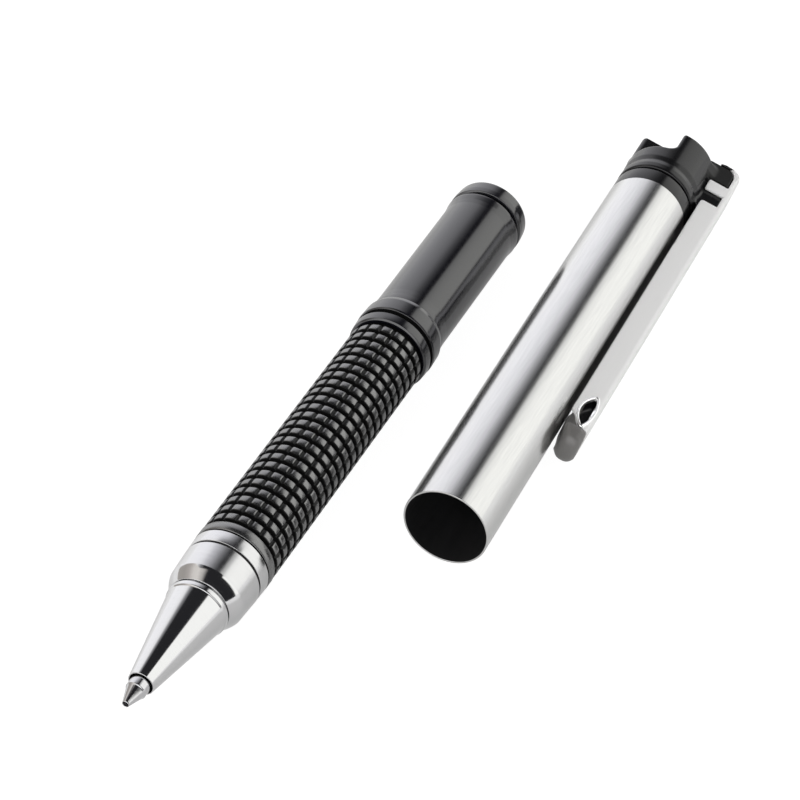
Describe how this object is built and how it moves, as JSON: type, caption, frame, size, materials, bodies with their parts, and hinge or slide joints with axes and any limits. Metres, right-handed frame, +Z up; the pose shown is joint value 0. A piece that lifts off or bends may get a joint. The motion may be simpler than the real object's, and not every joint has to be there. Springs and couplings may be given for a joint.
{
  "type": "capped ballpoint pocket pen",
  "caption": "Pocket ballpoint pen with its cap taken off: polished nose that unscrews, pin-drive refill, black padded grip, steel cap with a folded spring clip.",
  "frame": {"origin": "middle of the floor rectangle that the pen and its cap cover, on the floor", "axes": "+X along the pen from its point to its tail, +Z up, and the cap lies towards -Y"},
  "size_m": [0.1138, 0.0314, 0.0101],
  "materials": {
    "carbide": "hard polished ball",
    "point_steel": "turned and polished",
    "refill_brass": "drawn tube",
    "ink": "thick paste",
    "chrome": "polished",
    "washer_rubber": "matt black",
    "bush_brass": "turned",
    "barrel_black": "gloss black",
    "grip_black": "black with a soft sheen",
    "cap_steel": "satin, brushed along",
    "crown_black": "semi-gloss black",
    "clip_steel": "satin"
  },
  "bodies": {
    "pen": {"barrel": "barrel_black", "barrel_ring": "chrome", "thread_bush": "bush_brass", "grip_sleeve": "grip_black", "shoulder_ring": "barrel_black", "refill_socket": "barrel_black", "tail_plug": "barrel_black"},
    "seal": {"seal_washer": "washer_rubber"},
    "nose": {"nose_cone": "chrome", "nose_collar": "chrome"},
    "refill": {"refill_point": "point_steel", "refill_tube": "refill_brass", "ink_column": "ink", "writing_ball": "carbide"},
    "cap": {"cap_tube": "cap_steel", "crown_insert": "crown_black", "cap_crown": "crown_black"},
    "clip": {"clip_arm": "crown_black", "clip_cover": "clip_steel"}
  },
  "joints": [
    {"name": "nose_advance", "type": "slide", "parent": "pen", "child": "seal", "axis": [-1, 0, 0], "range_m": [0, 0.006]},
    {"name": "nose_turn", "type": "hinge", "parent": "seal", "child": "nose", "pos_m": [-0.0387, 0.01061, 0.00505], "axis": [-1, 0, 0], "range_deg": [0, 2880]},
    {"name": "refill_pull", "type": "slide", "parent": "pen", "child": "refill", "axis": [-1, 0, 0], "range_m": [0, 0.067]},
    {"name": "cap_slide", "type": "slide", "parent": "pen", "child": "cap", "axis": [0.9996, 0.0284, 0], "range_m": [0, 0.055]},
    {"name": "clip_flex", "type": "hinge", "parent": "cap", "child": "clip", "pos_m": [0.05656, -0.00994, 0.00357], "axis": [0.0092, -0.3243, 0.9459], "range_deg": [0, 3], "stiffness_Nm_per_rad": 4}
  ]
}
